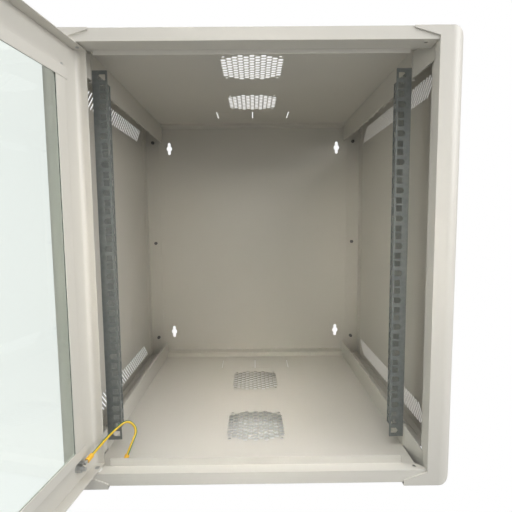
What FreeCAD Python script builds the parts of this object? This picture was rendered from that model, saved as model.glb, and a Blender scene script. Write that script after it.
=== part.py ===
import FreeCAD, Part
import Sketcher
import math
import os

# Rack cabinet for 19-inch equipment, with a hinged glass door shown open.
# X runs to the right, Y from the front to the back, Z up from the floor. Millimetres.
# The origin lies under the middle of the rear skirt on which the cabinet stands.

Vector = FreeCAD.Vector
doc = FreeCAD.newDocument("RackCabinet")
sheet = doc.addObject("Spreadsheet::Sheet", "Sizes")
pieces = []


class Size:
    """A number together with the sheet expression that gives it."""

    def __init__(self, text, value):
        self.text = text
        self.value = float(value)

    def joined(self, sign, other, value):
        return Size("(" + self.text + " " + sign + " " + other.text + ")", value)

    def __add__(self, other):
        other = as_size(other)
        return self.joined("+", other, self.value + other.value)

    def __sub__(self, other):
        other = as_size(other)
        return self.joined("-", other, self.value - other.value)

    def __mul__(self, other):
        other = as_size(other)
        return self.joined("*", other, self.value * other.value)

    def __truediv__(self, other):
        other = as_size(other)
        return self.joined("/", other, self.value / other.value)

    def __neg__(self):
        return Size("(-1 * " + self.text + ")", -self.value)


def as_size(amount):
    if isinstance(amount, Size):
        return amount
    return Size("(" + repr(float(amount)) + ")", amount)


def size(name, value):
    """Writes one driving dimension into the sheet and gives it back."""
    row = str(len(sheet.getUsedCells()) // 2 + 1)
    sheet.set("A" + row, name.replace("_", " "))
    sheet.set("B" + row, str(value))
    sheet.setAlias("B" + row, name)
    return Size("Sizes." + name, value)


def bind(item, name, amount):
    item.setExpression(name, as_size(amount).text)


def turn_to(item, direction):
    """Turns a shape that is made along Z so that it lies along X or Y where that is asked for."""
    if direction == "X":
        item.Placement.Rotation = FreeCAD.Rotation(Vector(0, 1, 0), 90)
    if direction == "Y":
        item.Placement.Rotation = FreeCAD.Rotation(Vector(1, 0, 0), -90)


def place(item, x, y, z):
    bind(item, "Placement.Base.x", x)
    bind(item, "Placement.Base.y", y)
    bind(item, "Placement.Base.z", z)


def box(x, y, z):
    """A block given by its low and high X, Y and Z."""
    item = doc.addObject("Part::Box", "Block")
    bind(item, "Length", x[1] - x[0])
    bind(item, "Width", y[1] - y[0])
    bind(item, "Height", z[1] - z[0])
    place(item, x[0], y[0], z[0])
    return item


def rod(direction, start, length, radius):
    """A round bar from a start point along X, Y or Z."""
    item = doc.addObject("Part::Cylinder", "Rod")
    turn_to(item, direction)
    bind(item, "Radius", radius)
    bind(item, "Height", length)
    place(item, start[0], start[1], start[2])
    return item


def hexagon(direction, start, length, across_flats):
    """A six-sided bar from a start point along X, Y or Z."""
    item = doc.addObject("Part::Prism", "Hexagon")
    item.Polygon = 6
    turn_to(item, direction)
    bind(item, "Circumradius", across_flats / math.sqrt(3))
    bind(item, "Height", length)
    place(item, start[0], start[1], start[2])
    return item


def fuse(items):
    item = doc.addObject("Part::MultiFuse", "Joined")
    item.Shapes = items
    item.Refine = True
    return item


def group(items):
    item = doc.addObject("Part::Compound", "Group")
    item.Links = items
    return item


def cut(base, tools):
    item = doc.addObject("Part::Cut", "CutAway")
    item.Base = base
    item.Tool = tools[0] if len(tools) == 1 else group(tools)
    return item


def common(first, second):
    item = doc.addObject("Part::Common", "Shared")
    item.Base = first
    item.Tool = second
    return item


def mirror(item):
    """The left-hand twin of a right-hand piece."""
    twin = doc.addObject("Part::Mirroring", "Twin")
    twin.Source = item
    twin.Normal = Vector(1, 0, 0)
    return twin


def keep(item, label):
    """Names a finished piece, which is then written to its own file."""
    item.Label = label
    pieces.append(item)
    return item


def keep_pair(item, label):
    keep(item, "right_" + label)
    keep(mirror(item), "left_" + label)


def draw_outline(sketch, points):
    """Draws a closed outline whose corners are all tied to the sheet."""
    count = len(points)
    first = sketch.GeometryCount
    for index in range(count):
        start = points[index]
        end = points[(index + 1) % count]
        line = Part.LineSegment(Vector(start[0].value, start[1].value, 0), Vector(end[0].value, end[1].value, 0))
        sketch.addGeometry(line, False)
    for index in range(count):
        before = first + (index - 1) % count
        sketch.addConstraint(Sketcher.Constraint("Coincident", before, 2, first + index, 1))
        for kind, amount in zip(("DistanceX", "DistanceY"), points[index]):
            number = sketch.addConstraint(Sketcher.Constraint(kind, -1, 1, first + index, 1, amount.value))
            sketch.setExpression("Constraints[" + str(number) + "]", amount.text)


def padded(plane, outlines, start, end):
    """A body padded from outlines on one of its planes, between two places along the normal."""
    body = doc.addObject("PartDesign::Body", "Body")
    sketch = body.newObject("Sketcher::SketchObject", "Outline")
    for feature in body.Origin.OriginFeatures:
        if feature.Role == plane + "_Plane":
            sketch.AttachmentSupport = [(feature, "")]
    sketch.MapMode = "FlatFace"
    for points in outlines:
        draw_outline(sketch, [(as_size(u), as_size(v)) for u, v in points])
    pad = body.newObject("PartDesign::Pad", "Pad")
    pad.Profile = sketch
    bind(pad, "Length", end - start)
    if plane == "XZ":
        # This plane's normal points to the front, so the pad is turned round.
        pad.Reversed = True
        bind(sketch, "AttachmentOffset.Base.z", -as_size(start))
    else:
        bind(sketch, "AttachmentOffset.Base.z", start)
    sketch.Visibility = False
    return body


def rounded(body, radius, chosen):
    """Rounds the edges of a padded body whose middles satisfy a test."""
    doc.recompute()
    pad = body.Tip
    names = []
    for index, edge in enumerate(pad.Shape.Edges):
        middle = edge.CenterOfMass
        along = edge.tangentAt(edge.FirstParameter)
        if chosen(middle, along):
            names.append("Edge" + str(index + 1))
    fillet = body.newObject("PartDesign::Fillet", "Fillet")
    fillet.Base = (pad, names)
    bind(fillet, "Radius", radius)
    body.Tip = fillet
    return body


def rectangle(u, v):
    return [(u[0], v[0]), (u[1], v[0]), (u[1], v[1]), (u[0], v[1])]


# Overall sizes and the sheet metal
cabinet_width = size("cabinet_width", 600)
cabinet_depth = size("cabinet_depth", 550)
cabinet_height = size("cabinet_height", 670)
panel_thickness = size("panel_thickness", 1.5)
beam_thickness = size("beam_thickness", 1.5)
right = cabinet_width / 2
back = panel_thickness / 2
front = back - cabinet_depth
top = cabinet_height
base = as_size(0)
plus = as_size(1)
minus = as_size(-1)

# Front uprights: folded shells open to the rear, with rounded outer corners and lapping feet
upright_width = size("upright_width", 40)
upright_depth = size("upright_depth", 42)
upright_thickness = size("upright_thickness", 2)
upright_corner_radius = size("upright_corner_radius", 22)
rebate_depth = size("rebate_depth", 24)
rebate_end_depth = size("rebate_end_depth", 16)
rebate_bottom = size("rebate_bottom", 50)
rebate_top_drop = size("rebate_top_drop", 46)
foot_reach = size("foot_reach", 35)
top_foot_height = size("top_foot_height", 14)
top_foot_tip = size("top_foot_tip", 3)
bottom_foot_height = size("bottom_foot_height", 21.6)
bottom_foot_tip = size("bottom_foot_tip", 8.4)
foot_depth = size("foot_depth", 35)
cut_overrun = size("cut_overrun", 5)
upright_inner = right - upright_width
upright_back = front + upright_depth
beam_front = front + upright_thickness


def rounded_block(x, y, z, radius):
    """A block with a round vertical front edge and round top and bottom outer corners."""
    plan = rounded(
        padded("XY", [rectangle(x, y)], z[0], z[1]), radius,
        lambda middle, along: abs(along.z) > 0.9 and middle.x > x[0].value + 1 and middle.y < y[0].value + 1)
    face = rounded(
        padded("XZ", [rectangle(x, z)], y[0], y[1]), radius,
        lambda middle, along: abs(along.y) > 0.9 and middle.x > x[0].value + 1)
    return common(plan, face)


upright_outside = rounded_block((upright_inner, right), (front, upright_back), (base, top), upright_corner_radius)
upright_hollow = rounded_block(
    (upright_inner + upright_thickness, right - upright_thickness),
    (beam_front, upright_back + cut_overrun),
    (upright_thickness, top - upright_thickness),
    upright_corner_radius - upright_thickness)
rebate_step = rebate_depth - rebate_end_depth
rebate_waste = padded("YZ", [[
    (front + rebate_end_depth, base - cut_overrun),
    (front + rebate_end_depth, rebate_bottom - rebate_step),
    (front + rebate_depth, rebate_bottom),
    (front + rebate_depth, top - rebate_top_drop),
    (front + rebate_end_depth, top - rebate_top_drop + rebate_step),
    (front + rebate_end_depth, top + cut_overrun),
    (upright_back + cut_overrun, top + cut_overrun),
    (upright_back + cut_overrun, base - cut_overrun),
]], upright_inner - cut_overrun, upright_inner + upright_thickness)
foot_end = upright_inner - foot_reach
foot_root = upright_inner + upright_thickness
top_foot = padded("XZ", [[
    (foot_end, top - top_foot_tip),
    (foot_root, top - top_foot_height),
    (foot_root, top),
    (foot_end, top),
]], front, beam_front)
bottom_foot = padded("XZ", [[
    (foot_end, base),
    (foot_root, base),
    (foot_root, bottom_foot_height),
    (foot_end, bottom_foot_tip),
]], front, beam_front)
foot_sole = box((foot_end, foot_root), (front, front + foot_depth), (base, upright_thickness))
upright_shell = cut(upright_outside, [upright_hollow, rebate_waste])
keep_pair(fuse([upright_shell, top_foot, bottom_foot, foot_sole]), "upright")

# Hinge line, shared by the front beams and the door
hinge_inset = size("hinge_inset", 15)
hinge_setback = size("hinge_setback", 12.6)
pin_diameter = size("pin_diameter", 5)
pin_clearance = size("pin_clearance", 0.08)
hinge_x = -(upright_inner - hinge_inset)
hinge_y = front + hinge_setback
pin_hole_radius = pin_diameter / 2 + pin_clearance

# Top front beam: box section with a hanging lip between its ends
top_beam_height = size("top_beam_height", 18)
top_beam_depth = size("top_beam_depth", 30.5)
top_lip_drop = size("top_lip_drop", 6.5)
top_lip_inset = size("top_lip_inset", 29)
beam_span = (-upright_inner, upright_inner)
top_beam_bottom = top - top_beam_height
top_beam_back = beam_front + top_beam_depth
top_lip = (top_lip_inset - upright_inner, upright_inner - top_lip_inset)


def pin_holes(low, high):
    """Hinge holes at both ends, so that the door can be hung on either side."""
    return [rod("Z", (x, hinge_y, low - cut_overrun), high - low + cut_overrun * 2, pin_hole_radius)
            for x in (hinge_x, -hinge_x)]


keep(cut(fuse([
    box(beam_span, (beam_front, beam_front + beam_thickness), (top_beam_bottom, top)),
    box(beam_span, (beam_front, top_beam_back), (top - beam_thickness, top)),
    box(beam_span, (beam_front, top_beam_back), (top_beam_bottom, top_beam_bottom + beam_thickness)),
    box(top_lip, (top_beam_back - beam_thickness, top_beam_back), (top_beam_bottom - top_lip_drop, top)),
]), pin_holes(top_beam_bottom, top_beam_bottom + beam_thickness)), "top_front_beam")

# Bottom front beam: the sill, with an upstanding lip behind the door
sill_bottom = size("sill_bottom", 4.5)
sill_height = size("sill_height", 19)
sill_depth = size("sill_depth", 20.5)
sill_flange_depth = size("sill_flange_depth", 33)
sill_lip_height = size("sill_lip_height", 12.5)
sill_lip_inset = size("sill_lip_inset", 32)
sill_corner_cut = size("sill_corner_cut", 13)
sill_top = sill_bottom + sill_height
sill_back = beam_front + sill_depth
sill_lip = (sill_lip_inset - upright_inner, upright_inner - sill_lip_inset)
sill_corner = padded("XY", [[
    (upright_inner + cut_overrun, sill_back - sill_corner_cut - cut_overrun),
    (upright_inner + cut_overrun, sill_back + cut_overrun),
    (upright_inner - sill_corner_cut - cut_overrun, sill_back + cut_overrun),
]], sill_top - beam_thickness * 2, sill_top + beam_thickness)
keep(cut(fuse([
    box(beam_span, (beam_front, beam_front + beam_thickness), (sill_bottom, sill_top)),
    box(beam_span, (beam_front, sill_back), (sill_top - beam_thickness, sill_top)),
    box(sill_lip, (sill_back - beam_thickness, sill_back), (sill_top - beam_thickness, sill_top + sill_lip_height)),
    box(beam_span, (beam_front, beam_front + sill_flange_depth), (sill_bottom, sill_bottom + beam_thickness)),
]), pin_holes(sill_top - beam_thickness, sill_top) + [sill_corner, mirror(sill_corner)]), "bottom_front_beam")

# Top and bottom panels: punched sheets with skirts, fan grilles and cable entries
floor_height = size("floor_height", 22.5)
top_panel_drop = size("top_panel_drop", 4)
skirt_drop = size("skirt_drop", 16)
notch_clearance = size("notch_clearance", 0.6)
floor_notch_inset = size("floor_notch_inset", 11)
floor_notch_depth = size("floor_notch_depth", 27)
fan_hole_width = size("fan_hole_width", 9.5)
fan_column_pitch = size("fan_column_pitch", 9.4)
fan_row_pitch = size("fan_row_pitch", 10.8)
fan_screw_spacing = size("fan_screw_spacing", 92)
fan_screw_diameter = size("fan_screw_diameter", 6)
top_front_fan_y = size("top_front_fan_y", 135)
top_back_fan_y = size("top_back_fan_y", 332)
bottom_front_fan_y = size("bottom_front_fan_y", 143)
bottom_back_fan_y = size("bottom_back_fan_y", 352.6)
cable_slit_pitch = size("cable_slit_pitch", 86.5)
cable_slit_width = size("cable_slit_width", 2.5)
cable_slit_length = size("cable_slit_length", 60)
top_cable_y = size("top_cable_y", 437)
bottom_cable_y = size("bottom_cable_y", 461.5)
score_width = size("score_width", 0.8)
score_depth = size("score_depth", 0.5)
ceiling = top - top_panel_drop - panel_thickness
notch_y = upright_back + notch_clearance
top_notch = (upright_inner - notch_clearance, notch_y)
floor_notch = (upright_inner - floor_notch_inset, upright_back + floor_notch_depth)
grille_columns = (7, 8, 9, 10, 9, 10, 9, 10, 9, 8, 7)


def circle_wire(x, y, radius):
    return Part.Wire(Part.Circle(Vector(x, y, 0), Vector(0, 0, 1), radius).toShape())


def polygon_wire(points):
    corners = [Vector(u, v, 0) for u, v in points]
    return Part.makePolygon(corners + corners[:1])


def hexagon_wire(x, y, width):
    """Six sides with two flats across Y; the width is measured between flats."""
    reach = width / math.sqrt(3)
    corners = []
    for corner in range(6):
        angle = math.pi * corner / 3
        corners.append((x + reach * math.cos(angle), y + reach * math.sin(angle)))
    return polygon_wire(corners)


def fan_wires(fan_y):
    """Honeycomb holes of one fan grille in staggered columns, with four round screw holes at its corners."""
    wires = []
    for column, count in enumerate(grille_columns):
        x = (column - (len(grille_columns) - 1) / 2) * fan_column_pitch.value
        for row in range(count):
            y = fan_y + (row - (count - 1) / 2) * fan_row_pitch.value
            wires.append(hexagon_wire(x, y, fan_hole_width.value))
    reach = fan_screw_spacing.value / 2
    for side in (-1, 1):
        for end in (-1, 1):
            wires.append(circle_wire(side * reach, fan_y + end * reach, fan_screw_diameter.value / 2))
    return wires


def slit_wires(middle_y):
    half_width = cable_slit_width.value / 2
    half_length = cable_slit_length.value / 2
    wires = []
    for column in (-1, 0, 1):
        x = column * cable_slit_pitch.value
        low = middle_y - half_length
        high = middle_y + half_length
        wires.append(polygon_wire(
            [(x - half_width, low), (x + half_width, low), (x + half_width, high), (x - half_width, high)]))
    return wires


def punched_sheet(edge_y, notch, fans, cable_y, low_z, inside_z):
    """A flat panel with front corner notches, punched holes and scored lines that join the cable slits."""
    half = right.value
    notch_side = notch[0].value
    notch_end = notch[1].value
    outline = [(-notch_side, edge_y.value), (notch_side, edge_y.value), (notch_side, notch_end),
               (half, notch_end), (half, back.value), (-half, back.value), (-half, notch_end),
               (-notch_side, notch_end)]
    middle_y = (front + cable_y).value
    holes = slit_wires(middle_y)
    for fan in fans:
        holes = holes + fan_wires((front + fan).value)
    face = Part.makeFace([polygon_wire(outline)] + holes, "Part::FaceMakerBullseye")
    face.translate(Vector(0, 0, low_z.value))
    shape = face.extrude(Vector(0, 0, panel_thickness.value))
    for end in (-1, 1):
        line_y = middle_y + end * cable_slit_length.value / 2
        scored = Part.makeBox(
            cable_slit_pitch.value * 2 + cable_slit_width.value, score_width.value, score_depth.value * 2,
            Vector(-cable_slit_pitch.value - cable_slit_width.value / 2, line_y - score_width.value / 2,
                   inside_z.value - score_depth.value))
        shape = shape.cut(scored)
    item = doc.addObject("Part::Feature", "PunchedSheet")
    item.Shape = shape
    return item


side_skirt = (right - panel_thickness, right)
other_skirt = (-right, panel_thickness - right)
top_skirt_height = (ceiling + panel_thickness - skirt_drop, ceiling + panel_thickness)
keep(fuse([
    punched_sheet(top_beam_back, top_notch, (top_front_fan_y, top_back_fan_y), top_cable_y, ceiling, ceiling),
    box(side_skirt, (notch_y, back), top_skirt_height),
    box(other_skirt, (notch_y, back), top_skirt_height),
]), "top_panel")
keep(fuse([
    punched_sheet(sill_back, floor_notch, (bottom_front_fan_y, bottom_back_fan_y), bottom_cable_y,
                  floor_height - panel_thickness, floor_height),
    box(side_skirt, (notch_y, back), (base, floor_height)),
    box(other_skirt, (notch_y, back), (base, floor_height)),
    box((-right, right), (back - panel_thickness, back), (base, floor_height)),
]), "bottom_panel")

# Mounting rails: folded zinc strips with square holes at the 19-inch spacing
rail_hole_spacing = size("rail_hole_spacing", 465.1)
rail_unit = size("rail_unit", 44.45)
rail_hole_step = size("rail_hole_step", 15.875)
rail_hole = size("rail_hole", 9.5)
rail_notch = size("rail_notch", 3)
rail_thickness = size("rail_thickness", 2)
rail_width = size("rail_width", 23)
rail_inner_margin = size("rail_inner_margin", 7.55)
rail_setback = size("rail_setback", 68)
rail_bottom_gap = size("rail_bottom_gap", 17.5)
rail_top_gap = size("rail_top_gap", 26.5)
rail_inner_depth = size("rail_inner_depth", 13)
rail_outer_depth = size("rail_outer_depth", 50)
rail_flange_setback = size("rail_flange_setback", 20)
rail_slot_setback = size("rail_slot_setback", 4.7)
rail_slot_depth = size("rail_slot_depth", 6.5)
rail_beam_clearance = size("rail_beam_clearance", 0.2)
top_depth_beam_height = size("top_depth_beam_height", 45)
bottom_depth_beam_height = size("bottom_depth_beam_height", 38)
rail_middle_holes = 14
rail_x = rail_hole_spacing / 2
rail_inner = rail_x - rail_inner_margin
rail_outer = rail_inner + rail_width
rail_front = front + rail_setback
rail_face = rail_front + rail_thickness
rail_bottom = floor_height + rail_bottom_gap
rail_top = ceiling - rail_top_gap
rail_middle = (rail_bottom + rail_top) / 2
bottom_beam_top = floor_height + bottom_depth_beam_height
top_beam_under = ceiling - top_depth_beam_height


def rail_hole_heights():
    """Heights of the square holes, each with a sign of whether it is the middle one of its unit."""
    heights = []
    for unit in range(rail_middle_holes):
        middle = rail_middle.value + (unit - (rail_middle_holes - 1) / 2) * rail_unit.value
        heights.append((middle, True))
        if unit < rail_middle_holes - 1:
            heights.append((middle + rail_hole_step.value, False))
            heights.append((middle + rail_unit.value - rail_hole_step.value, False))
    return heights


def rail_cutter():
    """Square punches for the face, the unit middles with a notch, and oblong ones for the inner flange."""
    half = rail_hole.value / 2
    overrun = cut_overrun.value
    x = rail_x.value
    low_y = rail_front.value - overrun
    slot_y = rail_front.value + rail_slot_setback.value
    flange_low = (rail_bottom + rail_flange_setback).value + half
    flange_high = (rail_top - rail_flange_setback).value - half
    punches = []
    for height, is_middle in rail_hole_heights():
        corners = [Vector(x - half, low_y, height - half), Vector(x + half, low_y, height - half)]
        if is_middle:
            corners.append(Vector(x + half + rail_notch.value, low_y, height))
        corners.append(Vector(x + half, low_y, height + half))
        corners.append(Vector(x - half, low_y, height + half))
        face = Part.Face(Part.makePolygon(corners + corners[:1]))
        punches.append(face.extrude(Vector(0, rail_thickness.value + overrun * 1.5, 0)))
        if flange_low < height < flange_high:
            punches.append(Part.makeBox(
                rail_thickness.value + overrun * 2, rail_slot_depth.value, rail_hole.value,
                Vector(rail_inner.value - overrun, slot_y, height - half)))
    item = doc.addObject("Part::Feature", "RailPunches")
    item.Shape = Part.makeCompound(punches)
    return item


rail_flange_height = (rail_bottom + rail_flange_setback, rail_top - rail_flange_setback)
rail_bolt_setback = size("rail_bolt_setback", 25)
rail_bolt_diameter = size("rail_bolt_diameter", 6)
rail_bolt_clearance = size("rail_bolt_clearance", 0.2)
rail_bolt_flats = size("rail_bolt_flats", 10)
rail_bolt_head = size("rail_bolt_head", 4)
rail_bolt_length = size("rail_bolt_length", 14)
rail_nut_height = size("rail_nut_height", 5)
rail_leg = rail_outer - rail_thickness
rail_bolt_y = rail_front + rail_bolt_setback
rail_bolt_heights = ((rail_bottom + bottom_beam_top) / 2, (top_beam_under + rail_top) / 2)
rail_bolt_hole = rail_bolt_diameter / 2 + rail_bolt_clearance
depth_beam_inner = rail_outer + rail_beam_clearance
depth_web = depth_beam_inner + beam_thickness
keep_pair(cut(fuse([
    box((rail_inner, rail_outer), (rail_front, rail_face), (rail_bottom, rail_top)),
    box((rail_inner, rail_inner + rail_thickness), (rail_front, rail_front + rail_inner_depth), rail_flange_height),
    box((rail_leg, rail_outer), (rail_front, rail_front + rail_outer_depth), (rail_bottom, rail_top)),
]), [rail_cutter()] + [
    rod("X", (rail_leg - cut_overrun, rail_bolt_y, height), rail_thickness + cut_overrun * 2, rail_bolt_hole)
    for height in rail_bolt_heights]), "mounting_rail")


def rail_bolt(height):
    """A hexagon-headed bolt through the outer leg of the rail and the web of the depth beam."""
    return fuse([hexagon("X", (rail_leg - rail_bolt_head, rail_bolt_y, height), rail_bolt_head, rail_bolt_flats),
                 rod("X", (rail_leg, rail_bolt_y, height), rail_bolt_length, rail_bolt_diameter / 2)])


def nut(direction, start, length, across_flats, bore_radius):
    """A hexagon nut with a plain bore."""
    return cut(hexagon(direction, start, length, across_flats), [rod(direction, start, length, bore_radius)])


keep_pair(group([rail_bolt(height) for height in rail_bolt_heights]), "rail_bolts")
keep_pair(group([
    nut("X", (depth_web, rail_bolt_y, height), rail_nut_height, rail_bolt_flats, rail_bolt_hole)
    for height in rail_bolt_heights]), "rail_nuts")

# Depth beams: folded strips with a foot on the panel, a notched lip at the free edge and a slot for the rail bolt
depth_foot_width = size("depth_foot_width", 8)
depth_lip_width = size("depth_lip_width", 5.5)
depth_beam_back_gap = size("depth_beam_back_gap", 15)
slot_length = size("slot_length", 25)
slot_width = size("slot_width", 7)
slot_lead = size("slot_lead", 4)
lip_notch_length = size("lip_notch_length", 25)
lip_notch_depth = size("lip_notch_depth", 2.8)
lip_notch_pitch = size("lip_notch_pitch", 36)
lip_notch_first = size("lip_notch_first", 17)
depth_foot_end = depth_beam_inner + depth_foot_width
depth_lip_end = depth_beam_inner + depth_lip_width
depth_beam_y = (rail_front, back - depth_beam_back_gap)


def lip_notches(middle_z):
    """A row of round-ended notches in the free edge of the lip, as many as fit on the beam."""
    radius = lip_notch_depth.value
    half = lip_notch_length.value / 2 - radius
    thick = beam_thickness.value * 4
    low = middle_z.value - thick / 2
    room = (depth_beam_y[1] - depth_beam_y[0] - lip_notch_first).value - lip_notch_length.value / 2
    punches = []
    for index in range(int(room // lip_notch_pitch.value) + 1):
        middle_y = (rail_front + lip_notch_first).value + index * lip_notch_pitch.value
        slab = Part.makeBox(
            radius * 2, half * 2, thick, Vector(depth_lip_end.value - radius, middle_y - half, low))
        for end in (-1, 1):
            centre = Vector(depth_lip_end.value, middle_y + end * half, low)
            slab = slab.fuse(Part.makeCylinder(radius, thick, centre))
        punches.append(slab)
    item = doc.addObject("Part::Feature", "LipPunches")
    item.Shape = Part.makeCompound(punches)
    return item


def rail_slot(height):
    """A round-ended slot in the web, in which the rail bolt can be moved forward and back."""
    half = (slot_length - slot_width) / 2
    middle = rail_bolt_y + slot_lead
    start = depth_beam_inner - cut_overrun
    length = beam_thickness + cut_overrun * 2
    middle_box = box((start, start + length), (middle - half, middle + half),
                     (height - slot_width / 2, height + slot_width / 2))
    ends = [rod("X", (start, y, height), length, slot_width / 2) for y in (middle - half, middle + half)]
    return fuse([middle_box] + ends)


def depth_beam(foot, edge, way, slot_height):
    """A beam from a panel to its free edge; the way is plus where the edge lies above the panel."""
    fold = way * beam_thickness
    strip = padded("XZ", [[
        (depth_beam_inner, foot),
        (depth_foot_end, foot),
        (depth_foot_end, foot + fold),
        (depth_web, foot + fold),
        (depth_web, edge - fold),
        (depth_lip_end, edge - fold),
        (depth_lip_end, edge),
        (depth_beam_inner, edge),
    ]], depth_beam_y[0], depth_beam_y[1])
    return cut(strip, [lip_notches(edge), rail_slot(slot_height)])


keep_pair(depth_beam(ceiling, top_beam_under, minus, rail_bolt_heights[1]), "top_depth_beam")
keep_pair(depth_beam(floor_height, bottom_beam_top, plus, rail_bolt_heights[0]), "bottom_depth_beam")

# Corner gussets: bent straps from the web of each depth beam to the front wall inside each upright
gusset_thickness = size("gusset_thickness", 2)
gusset_back = size("gusset_back", 12)
gusset_bend = size("gusset_bend", 1)
gusset_inset = size("gusset_inset", 11.5)
gusset_foot = size("gusset_foot", 5)
gusset_edge_gap = size("gusset_edge_gap", 2.2)
gusset_clearance = size("gusset_clearance", 0.5)
top_gusset_rise = size("top_gusset_rise", 16)
bottom_gusset_fall = size("bottom_gusset_fall", 32)
bottom_gusset_low = size("bottom_gusset_low", 10)
bottom_gusset_slope = size("bottom_gusset_slope", 19)
gusset_end = rail_front + gusset_back
gusset_turn = rail_front - gusset_bend
gusset_toe = upright_inner + gusset_inset
gusset_outside = depth_web + gusset_thickness
gusset_lean = (gusset_toe - depth_web) / (gusset_turn - beam_front)


def gusset(side_outline):
    """A strap bent in plan, trimmed to its outline as seen from the side."""
    strap = padded("XY", [[
        (depth_web, gusset_end),
        (depth_web, gusset_turn),
        (gusset_toe, beam_front),
        (gusset_toe + gusset_foot, beam_front),
        (gusset_toe + gusset_foot, beam_front + gusset_thickness),
        (gusset_toe + gusset_thickness - gusset_lean * gusset_thickness, beam_front + gusset_thickness),
        (gusset_outside, gusset_turn),
        (gusset_outside, gusset_end),
    ]], base, top)
    return common(strap, padded("YZ", [side_outline], base, right))


top_gusset_low = top_beam_under + beam_thickness + gusset_edge_gap
top_gusset_high = ceiling - gusset_edge_gap
keep_pair(gusset([
    (gusset_end, top_gusset_low),
    (gusset_turn, top_gusset_low),
    (beam_front, top_gusset_low + top_gusset_rise),
    (beam_front, top_gusset_high),
    (gusset_end, top_gusset_high),
]), "top_gusset")
bottom_gusset_foot = floor_height + beam_thickness + gusset_clearance
bottom_gusset_high = bottom_beam_top - beam_thickness - gusset_clearance
keep_pair(gusset([
    (gusset_end, bottom_gusset_foot),
    (gusset_turn, bottom_gusset_foot),
    (gusset_turn - bottom_gusset_slope, bottom_gusset_low),
    (beam_front, bottom_gusset_low),
    (beam_front, bottom_gusset_high - bottom_gusset_fall),
    (gusset_turn, bottom_gusset_high),
    (gusset_end, bottom_gusset_high),
]), "bottom_gusset")

# Back panel: flat sheet with four double-ended keyholes for hanging on a wall
back_panel_gap = size("back_panel_gap", 2)
keyhole_spacing = size("keyhole_spacing", 464)
keyhole_bottom = size("keyhole_bottom", 65.5)
keyhole_top_drop = size("keyhole_top_drop", 59.5)
keyhole_diameter = size("keyhole_diameter", 15)
keyhole_slot_width = size("keyhole_slot_width", 8)
keyhole_slot_height = size("keyhole_slot_height", 33)
back_face = back - panel_thickness
back_half = right - back_panel_gap
back_sheet = box((-back_half, back_half), (back_face, back), (floor_height, ceiling))
keyholes = []
for keyhole_z in (floor_height + keyhole_bottom, ceiling - keyhole_top_drop):
    for keyhole_x in (-keyhole_spacing / 2, keyhole_spacing / 2):
        start_y = back_face - cut_overrun
        length = panel_thickness + cut_overrun * 2
        slot_half = keyhole_slot_height / 2 - keyhole_slot_width / 2
        slot_x = (keyhole_x - keyhole_slot_width / 2, keyhole_x + keyhole_slot_width / 2)
        slot_z = (keyhole_z - slot_half, keyhole_z + slot_half)
        keyholes.append(fuse([
            rod("Y", (keyhole_x, start_y, keyhole_z), length, keyhole_diameter / 2),
            box(slot_x, (start_y, start_y + length), slot_z),
            rod("Y", (keyhole_x, start_y, slot_z[0]), length, keyhole_slot_width / 2),
            rod("Y", (keyhole_x, start_y, slot_z[1]), length, keyhole_slot_width / 2),
        ]))
keep(cut(back_sheet, keyholes), "back_panel")

# Rear corner posts: angles on the back panel between the side panel returns, with welded studs and nuts
post_inner = size("post_inner", 38)
post_width = size("post_width", 35)
post_leg = size("post_leg", 28.5)
stud_inset = size("stud_inset", 14.5)
stud_diameter = size("stud_diameter", 5)
stud_clearance = size("stud_clearance", 0.3)
stud_length = size("stud_length", 12)
stud_nut_flats = size("stud_nut_flats", 8)
stud_nut_height = size("stud_nut_height", 4)
stud_bottom = size("stud_bottom", 49.5)
stud_top_drop = size("stud_top_drop", 43.5)
post_x = right - post_inner
post_face = back_face - beam_thickness
stud_x = post_x + stud_inset
stud_heights = (floor_height + stud_bottom, (floor_height + ceiling) / 2, ceiling - stud_top_drop)
post_height = (floor_height + panel_thickness, ceiling - panel_thickness)
post_angle = fuse([
    box((post_x, post_x + post_width), (post_face, back_face), post_height),
    box((post_x + post_width - beam_thickness, post_x + post_width), (back_face - post_leg, back_face), post_height),
])
keep_pair(cut(post_angle, [
    rod("Y", (stud_x, post_face - cut_overrun, height), beam_thickness + cut_overrun * 2,
        stud_diameter / 2 + stud_clearance) for height in stud_heights]), "rear_post")
keep_pair(group([
    rod("Y", (stud_x, back_face - stud_length, height), stud_length, stud_diameter / 2)
    for height in stud_heights]), "rear_studs")
keep_pair(group([
    nut("Y", (stud_x, post_face - stud_nut_height, height), stud_nut_height, stud_nut_flats,
        stud_diameter / 2 + stud_clearance) for height in stud_heights]), "rear_nuts")

# Rear cross members: folded angles between the depth beams along the back panel
cross_clearance = size("cross_clearance", 0.1)
top_cross_depth = size("top_cross_depth", 33.5)
top_cross_height = size("top_cross_height", 6)
bottom_cross_depth = size("bottom_cross_depth", 31.5)
bottom_cross_height = size("bottom_cross_height", 11.5)
cross_span = (cross_clearance - depth_beam_inner, depth_beam_inner - cross_clearance)
keep(fuse([
    box(cross_span, (back_face - top_cross_depth, back_face - top_cross_depth + beam_thickness),
        (ceiling - top_cross_height, ceiling)),
    box(cross_span, (back_face - top_cross_depth, back_face),
        (ceiling - top_cross_height, ceiling - top_cross_height + beam_thickness)),
]), "rear_top_member")
keep(fuse([
    box(cross_span, (back_face - bottom_cross_depth, back_face - bottom_cross_depth + beam_thickness),
        (floor_height, floor_height + bottom_cross_height)),
    box(cross_span, (back_face - bottom_cross_depth, back_face),
        (floor_height + bottom_cross_height - beam_thickness, floor_height + bottom_cross_height)),
]), "rear_bottom_member")

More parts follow.
